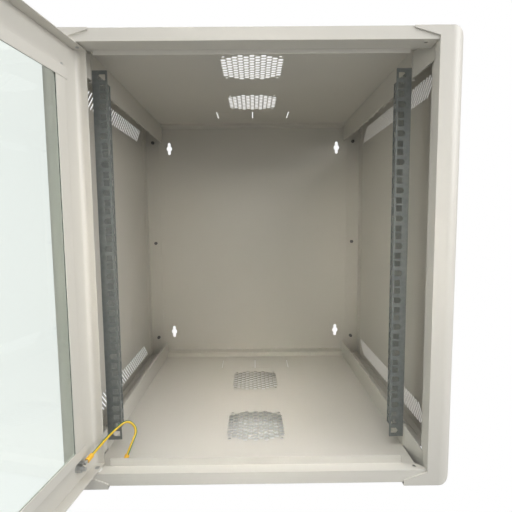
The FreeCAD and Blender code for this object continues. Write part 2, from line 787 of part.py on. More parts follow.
# Side panels: sheets with returns at top and bottom and two bands of slanted vents
side_panel_back_gap = size("side_panel_back_gap", 3)
side_return = size("side_return", 12)
vent_height = size("vent_height", 36)
vent_width = size("vent_width", 4.2)
vent_pitch = size("vent_pitch", 11.3)
vent_lean = size("vent_lean", 45)
vent_front_margin = size("vent_front_margin", 34)
vent_back_margin = size("vent_back_margin", 48)
vent_top_drop = size("vent_top_drop", 20)
vent_bottom = size("vent_bottom", 15)
side_panel_y = (notch_y, back - side_panel_back_gap)
side_outer = right - panel_thickness
side_inner = side_outer - panel_thickness


def slanted_slot(middle_y, middle_z, lean):
    """A round-ended slot in the YZ plane, leaning from the vertical by an angle."""
    radius = vent_width.value / 2
    half = (vent_height.value / 2 - radius) / math.cos(math.radians(lean))
    along = Vector(0, math.sin(math.radians(lean)), math.cos(math.radians(lean)))
    across = Vector(0, math.cos(math.radians(lean)), -math.sin(math.radians(lean)))
    middle = Vector(0, middle_y, middle_z)
    high = middle + along * half
    low = middle - along * half
    edges = [
        Part.LineSegment(low + across * radius, high + across * radius).toShape(),
        Part.Arc(high + across * radius, high + along * radius, high - across * radius).toShape(),
        Part.LineSegment(high - across * radius, low - across * radius).toShape(),
        Part.Arc(low - across * radius, low - along * radius, low + across * radius).toShape(),
    ]
    return Part.Wire(edges)


def vented_sheet(lean, front_margin, back_margin):
    """The flat of a side panel; its lower vents lean the other way from its upper ones."""
    low_y = side_panel_y[0].value
    high_y = side_panel_y[1].value
    corners = [Vector(0, y, z) for y, z in (
        (low_y, floor_height.value), (high_y, floor_height.value), (high_y, ceiling.value), (low_y, ceiling.value))]
    wires = [Part.makePolygon(corners + corners[:1])]
    first = low_y + front_margin.value
    last = high_y - back_margin.value
    slant_reach = vent_height.value / 2 * math.tan(math.radians(vent_lean.value))
    count = int((last - first - slant_reach * 2) // vent_pitch.value) + 1
    for index in range(count):
        middle_y = first + slant_reach + index * vent_pitch.value
        top_z = (ceiling - vent_top_drop - vent_height / 2).value
        bottom_z = (floor_height + vent_bottom + vent_height / 2).value
        wires.append(slanted_slot(middle_y, top_z, lean))
        wires.append(slanted_slot(middle_y, bottom_z, -lean))
    face = Part.makeFace(wires, "Part::FaceMakerBullseye")
    face.translate(Vector(side_inner.value, 0, 0))
    item = doc.addObject("Part::Feature", "VentedSheet")
    item.Shape = face.extrude(Vector(panel_thickness.value, 0, 0))
    return item


def side_panel(lean, front_margin, back_margin):
    returns_x = (side_outer - side_return, side_outer)
    return fuse([
        vented_sheet(lean, front_margin, back_margin),
        box(returns_x, side_panel_y, (floor_height, floor_height + panel_thickness)),
        box(returns_x, side_panel_y, (ceiling - panel_thickness, ceiling)),
    ])


# Both sides are one pressing, so the right-hand panel is the left-hand one turned round
keep(side_panel(-vent_lean.value, vent_back_margin, vent_front_margin), "right_side_panel")
keep(mirror(side_panel(vent_lean.value, vent_front_margin, vent_back_margin)), "left_side_panel")

# Door: a folded pan that swings on two pins, drawn shut with the hinge line at its origin
door_angle = size("door_angle", 97)
door_side_gap = size("door_side_gap", 2)
door_bottom_gap = size("door_bottom_gap", 2)
door_top_gap = size("door_top_gap", 2)
door_front_setback = size("door_front_setback", 1.6)
door_depth = size("door_depth", 16.4)
door_thickness = size("door_thickness", 1.2)
door_edge_radius = size("door_edge_radius", 8)
window_side_border = size("window_side_border", 58)
window_end_border = size("window_end_border", 50)
window_corner_radius = size("window_corner_radius", 6)
door_left = -(hinge_inset - door_side_gap)
door_right = upright_inner * 2 - door_side_gap * 2 + door_left
door_low = sill_top + door_bottom_gap
door_high = top_beam_bottom - door_top_gap
door_front = door_front_setback - hinge_setback
door_back = door_front + door_depth
door_face = door_front + door_thickness


def hang(item, label):
    """Keeps a piece of the door, turned with the open door about the hinge line."""
    item.Placement = FreeCAD.Placement(Vector(0, 0, 0), FreeCAD.Rotation(Vector(0, 0, 1), -door_angle.value))
    bind(item, "Placement.Base.x", hinge_x)
    bind(item, "Placement.Base.y", hinge_y)
    return keep(item, label)


lock_inset = size("lock_inset", 20)
lock_radius = size("lock_radius", 8)
lock_clearance = size("lock_clearance", 0.1)
lock_x = door_right - lock_inset
lock_z = (door_low + door_high) / 2
door_block = rounded(
    padded("XZ", [rectangle((door_left, door_right), (door_low, door_high))], door_front, door_back),
    door_edge_radius,
    lambda middle, along: abs(along.z) > 0.9 and middle.y < door_front.value + 1)
door_hollow = rounded(
    padded("XZ", [rectangle((door_left + door_thickness, door_right - door_thickness),
                            (door_low + door_thickness, door_high - door_thickness))],
           door_face, door_back + cut_overrun),
    door_edge_radius - door_thickness,
    lambda middle, along: abs(along.z) > 0.9 and middle.y < door_face.value + 1)
window_x = (door_left + window_side_border, door_right - window_side_border)
window_z = (door_low + window_end_border, door_high - window_end_border)
door_window = rounded(
    padded("XZ", [rectangle(window_x, window_z)], door_front - cut_overrun, door_face + cut_overrun),
    window_corner_radius,
    lambda middle, along: abs(along.y) > 0.9)
hang(cut(door_block, [
    door_hollow,
    door_window,
    rod("Z", (base, base, door_low - cut_overrun), door_high - door_low + cut_overrun * 2, pin_hole_radius),
    rod("Y", (lock_x, door_front - cut_overrun, lock_z), door_thickness + cut_overrun, lock_radius + lock_clearance),
]), "door_pan")

# Glass: a pane on a rubber seal behind the window, held by four folded strips with rivets
seal_thickness = size("seal_thickness", 1)
glass_thickness = size("glass_thickness", 4)
glass_side_border = size("glass_side_border", 44)
glass_end_border = size("glass_end_border", 40)
strip_side_border = size("strip_side_border", 34.5)
strip_end_border = size("strip_end_border", 30.7)
strip_foot = size("strip_foot", 5.5)
strip_thickness = size("strip_thickness", 1.2)
strip_side_cover = size("strip_side_cover", 20)
strip_end_cover = size("strip_end_cover", 15.8)
strip_gap = size("strip_gap", 0.4)
rivet_diameter = size("rivet_diameter", 4)
rivet_height = size("rivet_height", 1.4)
glass_x = (door_left + glass_side_border, door_right - glass_side_border)
glass_z = (door_low + glass_end_border, door_high - glass_end_border)
glass_front = door_face + seal_thickness
glass_back = glass_front + glass_thickness
hang(padded("XZ", [rectangle(glass_x, glass_z), rectangle(window_x, window_z)], door_face, glass_front), "glass_seal")
hang(padded("XZ", [rectangle(glass_x, glass_z)], glass_front, glass_back), "door_glass")


def strip_outline(edge, sign, border, cover):
    """Cross section of a strip: foot on the pan, wall beside the glass, cover over its edge."""
    wall = edge + sign * (border + strip_foot)
    end = wall + sign * cover
    return [
        (edge + sign * border, door_face),
        (wall + sign * strip_thickness, door_face),
        (wall + sign * strip_thickness, glass_back),
        (end, glass_back),
        (end, glass_back + strip_thickness),
        (wall, glass_back + strip_thickness),
        (wall, door_face + strip_thickness),
        (edge + sign * border, door_face + strip_thickness),
    ]


strip_reach = strip_end_border + strip_foot + strip_end_cover + strip_gap
strip_x = (door_left + strip_side_border, door_right - strip_side_border)
strip_z = (door_low + strip_reach, door_high - strip_reach)
rivet_points = []
for label, edge, sign in (("hinge_side", door_left, plus), ("lock_side", door_right, minus)):
    section = strip_outline(edge, sign, strip_side_border, strip_side_cover)
    hang(padded("XY", [section], strip_z[0], strip_z[1]), label + "_glass_strip")
    for height in (strip_z[0] + strip_foot, lock_z, strip_z[1] - strip_foot):
        rivet_points.append((edge + sign * (strip_side_border + strip_foot / 2), height))
for label, edge, sign in (("bottom", door_low, plus), ("top", door_high, minus)):
    section = [(y, z) for z, y in strip_outline(edge, sign, strip_end_border, strip_end_cover)]
    hang(padded("YZ", [section], strip_x[0], strip_x[1]), label + "_glass_strip")
    for across in (strip_x[0] + strip_foot, (strip_x[0] + strip_x[1]) / 2, strip_x[1] - strip_foot):
        rivet_points.append((across, edge + sign * (strip_end_border + strip_foot / 2)))
rivets = [rod("Y", (x, door_face + strip_thickness, z), rivet_height, rivet_diameter / 2) for x, z in rivet_points]
hang(group(rivets), "strip_rivets")

# Hinge pins: a riveted pin below with a washer, a headed pin above put in from inside the top beam
lower_pin_depth = size("lower_pin_depth", 7)
collar_diameter = size("collar_diameter", 7)
collar_height = size("collar_height", 0.8)
washer_diameter = size("washer_diameter", 14)
upper_pin_end = size("upper_pin_end", 1)
pin_head_diameter = size("pin_head_diameter", 9)
pin_head_height = size("pin_head_height", 2)
pin_radius = pin_diameter / 2
flange_top = door_low + door_thickness
hang(fuse([
    rod("Z", (base, base, door_low - lower_pin_depth), lower_pin_depth + door_thickness + collar_height, pin_radius),
    rod("Z", (base, base, flange_top), collar_height, collar_diameter / 2),
]), "lower_hinge_pin")
keep(cut(
    rod("Z", (hinge_x, hinge_y, sill_top), door_bottom_gap, washer_diameter / 2),
    [rod("Z", (hinge_x, hinge_y, sill_top - cut_overrun), door_bottom_gap + cut_overrun * 2, pin_hole_radius)],
), "hinge_washer")
pin_seat = top_beam_bottom + beam_thickness
upper_pin_low = door_high - door_thickness - upper_pin_end
keep(fuse([
    rod("Z", (hinge_x, hinge_y, upper_pin_low), pin_seat - upper_pin_low, pin_radius),
    rod("Z", (hinge_x, hinge_y, pin_seat), pin_head_height, pin_head_diameter / 2),
]), "upper_hinge_pin")

# Lock: a barrel through the pan held by a nut, with a turning plug that carries a cam
lock_flange_radius = size("lock_flange_radius", 11)
lock_flange = size("lock_flange", 1.4)
lock_nut_flats = size("lock_nut_flats", 20)
lock_nut_height = size("lock_nut_height", 4)
plug_radius = size("plug_radius", 5)
cam_gap = size("cam_gap", 0.5)
cam_thickness = size("cam_thickness", 2)
cam_length = size("cam_length", 24)
cam_half_width = size("cam_half_width", 6.5)
cam_pivot_radius = size("cam_pivot_radius", 3.5)
cam_screw_radius = size("cam_screw_radius", 5)
cam_screw_height = size("cam_screw_height", 2.5)
key_slot_width = size("key_slot_width", 1.6)
key_slot_height = size("key_slot_height", 6)
key_slot_depth = size("key_slot_depth", 8)
cam_front = rebate_depth - hinge_setback + cam_gap
barrel_back = cam_front - cam_gap / 2
lock_front = door_front - lock_flange
hang(cut(fuse([
    rod("Y", (lock_x, lock_front, lock_z), barrel_back - lock_front, lock_radius),
    rod("Y", (lock_x, lock_front, lock_z), lock_flange, lock_flange_radius),
]), [rod("Y", (lock_x, lock_front - cut_overrun, lock_z), barrel_back - lock_front + cut_overrun * 2,
         plug_radius + lock_clearance)]), "lock_barrel")
hang(nut("Y", (lock_x, door_face, lock_z), lock_nut_height, lock_nut_flats, lock_radius + lock_clearance), "lock_nut")
hang(cut(fuse([
    rod("Y", (lock_x, lock_front, lock_z), cam_front - lock_front, plug_radius),
    rod("Y", (lock_x, cam_front, lock_z), cam_thickness, cam_pivot_radius),
]), [box((lock_x - key_slot_width / 2, lock_x + key_slot_width / 2),
         (lock_front - cut_overrun, lock_front + key_slot_depth),
         (lock_z - key_slot_height / 2, lock_z + key_slot_height / 2))]), "lock_plug")
hang(cut(box((lock_x - cam_half_width, lock_x + cam_half_width), (cam_front, cam_front + cam_thickness),
             (lock_z - cam_length, lock_z + cam_half_width)),
         [rod("Y", (lock_x, cam_front - cut_overrun, lock_z), cam_thickness + cut_overrun * 2,
              cam_pivot_radius + lock_clearance)]), "lock_cam")
hang(group([rod("Y", (lock_x, cam_front + cam_thickness, lock_z), cam_screw_height, cam_screw_radius)]), "cam_screw")

# Earth bond: a stud on the door and a smaller one behind the sill lip, each with a nut, joined by a sleeved wire
door_stud_diameter = size("door_stud_diameter", 6)
door_spacer = size("door_spacer", 2)
door_spacer_radius = size("door_spacer_radius", 6)
door_nut_flats = size("door_nut_flats", 10)
door_nut_height = size("door_nut_height", 5)
door_stud_end = size("door_stud_end", 5)
door_stud_from_edge = size("door_stud_from_edge", 49.5)
door_stud_height = size("door_stud_height", 23.5)
sill_stud_diameter = size("sill_stud_diameter", 4)
sill_spacer = size("sill_spacer", 1)
sill_spacer_radius = size("sill_spacer_radius", 3.6)
sill_nut_flats = size("sill_nut_flats", 7)
sill_nut_height = size("sill_nut_height", 3.2)
sill_stud_end = size("sill_stud_end", 0.6)
sill_stud_from_hinge = size("sill_stud_from_hinge", 30.5)
sill_stud_rise = size("sill_stud_rise", 3.8)
earth_clearance = size("earth_clearance", 0.2)
lug_thickness = size("lug_thickness", 1)
door_stud = (door_left + door_stud_from_edge, door_face, door_low + door_stud_height)
sill_stud = (hinge_x + sill_stud_from_hinge, sill_back, sill_top + sill_stud_rise)


def earth_stud(foot, radius, spacer, spacer_radius, end_length):
    """A threaded stud with a spacer at its foot; the end length stands out past the terminal."""
    return fuse([
        rod("Y", foot, spacer + lug_thickness + end_length, radius),
        rod("Y", foot, spacer, spacer_radius),
    ])


def earth_nut(foot, radius, spacer, height, across_flats):
    x, y, z = foot
    return nut("Y", (x, y + spacer + lug_thickness, z), height, across_flats, radius + earth_clearance)


door_stud_radius = door_stud_diameter / 2
sill_stud_radius = sill_stud_diameter / 2
hang(earth_stud(door_stud, door_stud_radius, door_spacer, door_spacer_radius, door_nut_height + door_stud_end),
     "door_earth_stud")
hang(earth_nut(door_stud, door_stud_radius, door_spacer, door_nut_height, door_nut_flats), "door_earth_nut")
keep(earth_stud(sill_stud, sill_stud_radius, sill_spacer, sill_spacer_radius, sill_nut_height + sill_stud_end),
     "sill_earth_stud")
keep(earth_nut(sill_stud, sill_stud_radius, sill_spacer, sill_nut_height, sill_nut_flats), "sill_earth_nut")

# Earth wire: from the sill terminal up into the cabinet, over a loose loop and back along the open door
wire_diameter = size("wire_diameter", 4.4)
bend_share = 0.45
wire_from_hinge = (
    (40.3, 20.15, 11.7),
    (45.0, 28.15, 25.0),
    (48.5, 50.65, 37.5),
    (33.5, 48.15, 56.0),
    (18.0, 27.65, 48.5),
    (8.7, 1.95, 42.5),
    (1.6, -20.15, 36.6),
)


def bent_path(points):
    """Straight runs joined by tangent arcs, as one wire, with its arc radii."""
    edges = []
    radii = []
    start = points[0]
    for before, corner, after in zip(points, points[1:], points[2:]):
        into = (corner - before).normalize()
        out = (after - corner).normalize()
        half_turn = into.getAngle(out) / 2
        reach = bend_share * min((corner - before).Length, (after - corner).Length)
        radii.append(reach / math.tan(half_turn))
        enter = corner - into * reach
        leave = corner + out * reach
        centre_way = (out - into).normalize()
        sagitta = radii[-1] / math.cos(half_turn) - radii[-1]
        edges.append(Part.LineSegment(start, enter).toShape())
        edges.append(Part.Arc(enter, corner + centre_way * sagitta, leave).toShape())
        start = leave
    edges.append(Part.LineSegment(start, points[-1]).toShape())
    return Part.Wire(edges), radii


def bent_rod(label, points, radius):
    """A round wire swept along straight runs and arcs."""
    path, radii = bent_path(points)
    ring = Part.Circle(points[0], points[1] - points[0], radius)
    item = doc.addObject("Part::Feature", label)
    item.Shape = path.makePipeShell([Part.Wire(ring.toShape())], True, False)
    return item, path.Length, radii


hinge_foot = Vector(hinge_x.value, hinge_y.value, sill_top.value)
wire_points = [hinge_foot + Vector(x, y, z) for x, y, z in wire_from_hinge]
wire_item, wire_length, bend_radii = bent_rod("EarthWire", wire_points, wire_diameter.value / 2)
keep(wire_item, "earth_wire")
print("wire bend radii", [round(radius, 1) for radius in bend_radii], "length", round(wire_length, 1))
wire_share = wire_item.Shape.Volume / (math.pi * (wire_diameter.value / 2) ** 2 * wire_length)
print("wire volume over section times length", round(wire_share, 4))

# Earth terminals: rings under the nuts, each with a neck and a sleeved barrel in line with the wire's end
door_lug_radius = size("door_lug_radius", 6)
sill_lug_radius = size("sill_lug_radius", 4)
lug_barrel_radius = size("lug_barrel_radius", 2.3)
lug_neck_radius = size("lug_neck_radius", 1.8)
sleeve_radius = size("sleeve_radius", 3.7)
sleeve_clearance = size("sleeve_clearance", 0.05)
door_barrel_length = size("door_barrel_length", 14)
door_sleeve_length = size("door_sleeve_length", 11)
sill_barrel_length = size("sill_barrel_length", 8)
sill_sleeve_length = size("sill_sleeve_length", 7)


def tube_along(start, way, length, radius):
    return Part.makeCylinder(radius.value, length, start, way)


def terminal(label, seat, axis, ring_radius, stud_radius, wire_end, wire_inner, barrel_length, sleeve_length):
    """A ring terminal on a stud; its barrel takes the wire's end and wears an insulating sleeve."""
    thick = lug_thickness.value
    overrun = cut_overrun.value
    half = lug_barrel_radius.value
    way = (wire_end - wire_inner).normalize()
    root = wire_end + way * barrel_length.value
    rise = (root - seat).dot(axis)
    flat = root - axis * rise - seat
    reach = flat.Length
    flat.normalize()
    side = axis.cross(flat)
    tip = seat + flat * reach
    tongue = Part.makeBox(reach, half * 2, thick)
    tongue.Placement = FreeCAD.Placement(seat - side * half, FreeCAD.Rotation(flat, side, axis, "XYZ"))
    ring = tube_along(seat, axis, thick, ring_radius)
    bore = tube_along(seat - axis * overrun, axis, thick + overrun * 2, stud_radius + earth_clearance)
    solid = ring.fuse([
        tongue,
        tube_along(tip, axis, thick, lug_barrel_radius),
        tube_along(tip, axis, rise, lug_neck_radius),
        tube_along(root + way * half, -way, barrel_length.value + half, lug_barrel_radius),
    ]).cut(bore)
    lug = doc.addObject("Part::Feature", "Lug")
    lug.Shape = solid.removeSplitter()
    keep(lug, label + "_earth_lug")
    start = wire_end + way * sleeve_length.value
    hole = tube_along(start + way * overrun, -way, sleeve_length.value + overrun * 2,
                      lug_barrel_radius + sleeve_clearance)
    sleeve = doc.addObject("Part::Feature", "Sleeve")
    sleeve.Shape = tube_along(start, -way, sleeve_length.value, sleeve_radius).cut(hole)
    keep(sleeve, label + "_earth_sleeve")


def seat_on(foot, spacer):
    return Vector(foot[0].value, (foot[1] + spacer).value, foot[2].value)


door_turn = FreeCAD.Placement(
    Vector(hinge_x.value, hinge_y.value, 0), FreeCAD.Rotation(Vector(0, 0, 1), -door_angle.value))
backward = Vector(0, 1, 0)
terminal("door", door_turn.multVec(seat_on(door_stud, door_spacer)), door_turn.Rotation.multVec(backward),
         door_lug_radius, door_stud_radius, wire_points[-1], wire_points[-2], door_barrel_length, door_sleeve_length)
terminal("sill", seat_on(sill_stud, sill_spacer), backward,
         sill_lug_radius, sill_stud_radius, wire_points[0], wire_points[1], sill_barrel_length, sill_sleeve_length)

# Checks every piece and writes each one to a file named by its label
doc.recompute()
faults = []
for item in doc.Objects:
    if "Invalid" in item.State or "Error" in item.State:
        faults.append(item.Label + " is in error")
for item in pieces:
    if item.Shape.isNull() or not item.Shape.isValid() or not item.Shape.Solids:
        faults.append(item.Label + " has no valid solid")
if faults:
    raise RuntimeError("; ".join(faults))
os.makedirs("parts", exist_ok=True)
for item in pieces:
    item.Shape.exportStep("parts/" + item.Label + ".step")
    print(item.Label, len(item.Shape.Solids), "solids", round(item.Shape.Volume), "mm3")
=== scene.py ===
import math

import bpy
from mathutils import Matrix, Vector


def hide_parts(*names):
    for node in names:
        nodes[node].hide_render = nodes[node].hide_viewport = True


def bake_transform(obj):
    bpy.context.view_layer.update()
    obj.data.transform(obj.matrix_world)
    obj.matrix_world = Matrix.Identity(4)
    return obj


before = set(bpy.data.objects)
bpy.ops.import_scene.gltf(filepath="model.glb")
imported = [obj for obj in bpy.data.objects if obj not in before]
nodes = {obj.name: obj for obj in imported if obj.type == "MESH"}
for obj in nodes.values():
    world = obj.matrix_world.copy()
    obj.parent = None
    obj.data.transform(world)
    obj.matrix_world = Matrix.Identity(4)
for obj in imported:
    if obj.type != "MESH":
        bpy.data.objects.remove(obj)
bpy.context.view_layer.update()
scene = bpy.context.scene
scene.view_settings.view_transform = "Standard"

# Camera
# A wide view into the open cabinet from a little above its middle, looking slightly down.
# Places are in metres and angles in degrees; the lens and its sensor are in millimetres.
CAMERA_PLACE = (0.0, -1.11165, 0.4039)
CAMERA_YAW = -0.296
CAMERA_PITCH = -5.109
CAMERA_ROLL = 0.547
LENS_LENGTH = 27.5625
SENSOR_WIDTH = 36.0
NEAREST_SEEN = 0.01
RAISED_TO_LEVEL = 90


def turn(degrees, axis):
    """A rotation about one axis of the frame."""
    return Matrix.Rotation(math.radians(degrees), 4, axis)


camera_data = bpy.data.cameras.new("camera")
camera_data.sensor_width = SENSOR_WIDTH
camera_data.lens = LENS_LENGTH
camera_data.clip_start = NEAREST_SEEN
camera = bpy.data.objects.new("camera", camera_data)
scene.collection.objects.link(camera)
camera_turn = (turn(CAMERA_YAW, "Z") @ turn(CAMERA_PITCH, "X") @ turn(CAMERA_ROLL, "Y")
               @ turn(RAISED_TO_LEVEL, "X"))
camera.matrix_world = Matrix.Translation(CAMERA_PLACE) @ camera_turn
scene.camera = camera

# Studio
# A floor and a dim room with soft lamps, as for a catalogue picture: none of it belongs to the
# cabinet. Floor and room look white to the camera, in mirror-sharp reflections and through glass. A
# white sheet under the cabinet catches what falls through its floor; four narrow lamps light its inside.
ROOM_LIGHT = 0.2
FLOOR_REACH = 6.0
FLOOR_LEVEL = -0.001
FLOOR_COLOUR = (0.45, 0.45, 0.45, 1.0)
SHEET_FRONT_LEFT = (-0.29, -0.53)
SHEET_BACK_RIGHT = (0.29, 0.0)
SHEET_LEVEL = -0.0005
SHEET_COLOUR = (0.92, 0.92, 0.92, 1.0)
WHITE = (1.0, 1.0, 1.0, 1.0)
WHITE_LIGHT = (1.0, 1.0, 1.0)
WARM_LIGHT = (1.0, 0.94, 0.83)
EDGE_SAMPLES = 4


class Value:
    """One shader output; arithmetic on it adds Math nodes to its tree."""

    def __init__(self, tree, socket):
        self.tree = tree
        self.socket = socket

    def maths(self, operation, *terms):
        node = self.tree.nodes.new("ShaderNodeMath")
        node.operation = operation
        for term, slot in zip(terms, node.inputs):
            if isinstance(term, Value):
                self.tree.links.new(term.socket, slot)
            else:
                slot.default_value = term
        return Value(self.tree, node.outputs[0])

    def __add__(self, other):
        return self.maths("ADD", self, other)

    def __mul__(self, other):
        return self.maths("MULTIPLY", self, other)

    def __lt__(self, other):
        return self.maths("LESS_THAN", self, other)

    def __or__(self, other):
        return self.maths("MAXIMUM", self, other)

    __radd__ = __add__
    __rmul__ = __mul__
    __ror__ = __or__

    def fraction(self):
        return self.maths("FRACT", self)


class Shader:
    """The node tree of a material or world, whose nodes are all made by one method."""

    def __init__(self, owner):
        self.owner = owner
        owner.use_nodes = True
        self.tree = owner.node_tree
        self.tree.nodes.clear()

    def node(self, kind, settings=None, output=0, **sockets):
        """Adds a node; sockets go by name with underscores for spaces, or by number as in input_1."""
        node = self.tree.nodes.new("ShaderNode" + kind)
        for name, setting in (settings or {}).items():
            setattr(node, name, setting)
        for name, value in sockets.items():
            numbered = name.startswith("input_")
            key = int(name.removeprefix("input_")) if numbered else name.replace("_", " ")
            if isinstance(value, Value):
                self.tree.links.new(value.socket, node.inputs[key])
            else:
                node.inputs[key].default_value = value
        return Value(self.tree, node.outputs[output]) if node.outputs else None

    def colours(self, share, first, second):
        """Goes from the first colour to the second as the share goes from 0 to 1."""
        return self.node("Mix", {"data_type": "RGBA"}, output=2,
                         input_0=share, input_6=first, input_7=second)

    def place(self):
        """Position on the cabinet in metres, so a texture's scale counts its features per metre."""
        return self.node("TexCoord", output="Object")

    def noise(self, per_metre, detail):
        """Soft unevenness between about 0 and 1."""
        return self.node("TexNoise", Vector=self.place(), Scale=per_metre, Detail=detail)

    def rounded(self, radius):
        """The surface's normal with its edges a little rounded."""
        return self.node("Bevel", {"samples": EDGE_SAMPLES}, Radius=radius)

    def seen(self):
        """One for rays from the camera, from a mirror-sharp surface or through glass."""
        camera_ray = self.node("LightPath", output="Is Camera Ray")
        mirror_ray = self.node("LightPath", output="Is Singular Ray")
        glass_ray = self.node("LightPath", output="Is Transmission Ray")
        return camera_ray | mirror_ray | glass_ray

    def surface(self, **sockets):
        """Ends the tree in one Principled surface and gives back its material."""
        self.node("OutputMaterial", Surface=self.node("BsdfPrincipled", **sockets))
        return self.owner


def new_finish(name):
    """The empty shader of a new material."""
    return Shader(bpy.data.materials.new(name))


def studio_plane(name, front_left, back_right, level):
    """Adds a level rectangle to the studio and gives back the empty shader of its material."""
    left, front = front_left
    right, back = back_right
    corners = [(left, front, level), (right, front, level), (right, back, level), (left, back, level)]
    mesh = bpy.data.meshes.new(name)
    mesh.from_pydata(corners, [], [(0, 1, 2, 3)])
    plane = bpy.data.objects.new(name, mesh)
    scene.collection.objects.link(plane)
    shader = new_finish(name)
    mesh.materials.append(shader.owner)
    return shader


def area_lamp(name, place, target, size, power, spread=180, colour=WHITE_LIGHT):
    """A soft square lamp that looks at a point; a small spread in degrees makes a narrow beam."""
    lamp_data = bpy.data.lights.new(name, "AREA")
    lamp_data.size = size
    lamp_data.color = colour
    lamp_data.energy = power
    lamp_data.spread = math.radians(spread)
    lamp = bpy.data.objects.new(name, lamp_data)
    lamp.location = place
    lamp.rotation_euler = (Vector(target) - Vector(place)).to_track_quat("-Z", "Y").to_euler()
    scene.collection.objects.link(lamp)


room = Shader(bpy.data.worlds.new("room"))
scene.world = room.owner
room_strength = room.seen() * (1.0 - ROOM_LIGHT) + ROOM_LIGHT
room.node("OutputWorld", Surface=room.node("Background", Color=WHITE, Strength=room_strength))
floor_shader = studio_plane("studio_floor", (-FLOOR_REACH, -FLOOR_REACH), (FLOOR_REACH, FLOOR_REACH),
                            FLOOR_LEVEL)
floor_shader.node("OutputMaterial", Surface=floor_shader.node(
    "MixShader", Fac=floor_shader.seen(), input_1=floor_shader.node("BsdfDiffuse", Color=FLOOR_COLOUR),
    input_2=floor_shader.node("Emission", Color=WHITE)))
sheet_shader = studio_plane("studio_sheet", SHEET_FRONT_LEFT, SHEET_BACK_RIGHT, SHEET_LEVEL)
sheet_shader.node("OutputMaterial", Surface=sheet_shader.node("BsdfDiffuse", Color=SHEET_COLOUR))

area_lamp("overhead_lamp", place=(0.0, -0.9, 2.3), target=(0.0, -0.45, 0.2), size=1.8, power=41.0)
area_lamp("right_lamp", place=(2.0, -1.5, 1.2), target=(0.0, -0.4, 0.35), size=1.4, power=38.0)
area_lamp("left_lamp", place=(-1.9, -1.9, 1.3), target=(0.0, -0.3, 0.3), size=1.4, power=7.0)
area_lamp("high_inside_lamp", place=(0.0, -2.0, 1.55), target=(0.0, -0.26, 0.02), size=0.25, power=0.24,
          spread=14, colour=WARM_LIGHT)
area_lamp("low_inside_lamp", place=(0.0, -2.5, 0.95), target=(0.0, -0.1, 0.26), size=0.3, power=0.14,
          spread=18, colour=WARM_LIGHT)
for lamp_name, side, lamp_power in (("left_wall_lamp", -1, 0.10), ("right_wall_lamp", 1, 0.11)):
    area_lamp(lamp_name, place=(-0.75 * side, -2.3, 0.75), target=(0.24 * side, -0.3, 0.34), size=0.3,
              power=lamp_power, spread=15, colour=WARM_LIGHT)

# Painted frame and panels
# Front uprights and beams, top, bottom, back and side sheets, depth beams, gussets, rear posts and
# cross members: folded and welded steel under a light grey, finely textured powder coat. The coat has
# a cloudy tone and an orange peel with finer grain, and rounds the folds and cut edges a little.
PAINT_COLOUR = (0.67, 0.648, 0.592, 1.0)
PAINT_SHADE = (0.63, 0.609, 0.556, 1.0)
PAINT_LEAST_ROUGHNESS = 0.35
PEEL_DEPTH = 0.0002
FOLD_RADIUS = 0.0008


def finish_with(material, *names):
    """Gives solids of the frame a material in place of their plain one."""
    for name in names:
        nodes[name].data.materials.clear()
        nodes[name].data.materials.append(material)


def both(name):
    """The names of a piece at the left and of its twin at the right."""
    return "left_" + name, "right_" + name


paint_shader = new_finish("light_grey_paint")
cloud = paint_shader.noise(7.0, 3.0)
peel = paint_shader.noise(420.0, 2.0)
grain = paint_shader.noise(1700.0, 2.0)
paint = paint_shader.surface(
    Base_Color=paint_shader.colours(cloud * 0.8 + grain * 0.2, PAINT_COLOUR, PAINT_SHADE),
    Roughness=cloud * 0.08 + peel * 0.06 + PAINT_LEAST_ROUGHNESS,
    Normal=paint_shader.node("Bump", Strength=0.10, Distance=PEEL_DEPTH, Height=peel * 0.6 + grain * 0.4,
                             Normal=paint_shader.rounded(FOLD_RADIUS)))
finish_with(
    paint, *both("upright"), "top_front_beam", "bottom_front_beam", "top_panel", "bottom_panel",
    "back_panel", *both("side_panel"), *both("rear_post"), "rear_top_member", "rear_bottom_member",
    *both("top_depth_beam"), *both("bottom_depth_beam"), *both("top_gusset"), *both("bottom_gusset"))

# Mounting rails
# Two folded strips of zinc plated steel with square holes, bolted to the depth beams.
# The plating is dull grey with a soft spangle and fine handling marks along the strip.
RAIL_COLOUR = (0.22, 0.24, 0.235, 1.0)
RAIL_LIGHT = (0.30, 0.32, 0.315, 1.0)
DRAWN_LINES = (1500.0, 1500.0, 60.0)
DRAWN_DEPTH = 0.0001


def zinc_plated(name, dark, light, metal, least_roughness):
    """Plated steel: crystals of two tones, dusty gloss, drawn lines along the height."""
    zinc = new_finish(name)
    spangle = zinc.node("TexVoronoi", Vector=zinc.place(), Scale=150.0)
    dust = zinc.noise(90.0, 5.0)
    stretched = zinc.node("VectorMath", {"operation": "MULTIPLY"},
                          input_0=zinc.place(), input_1=DRAWN_LINES)
    drawn = zinc.node("TexNoise", Vector=stretched, Scale=1.0, Detail=3.0)
    return zinc.surface(
        Base_Color=zinc.colours(spangle * 0.7 + dust * 0.3, dark, light), Metallic=metal,
        Roughness=dust * 0.16 + drawn * 0.06 + least_roughness,
        Normal=zinc.node("Bump", Strength=0.08, Distance=DRAWN_DEPTH, Height=drawn,
                         Normal=zinc.rounded(FOLD_RADIUS / 2)))


rail_zinc = zinc_plated("rail_zinc", RAIL_COLOUR, RAIL_LIGHT, metal=0.55, least_roughness=0.36)
finish_with(rail_zinc, *both("mounting_rail"))

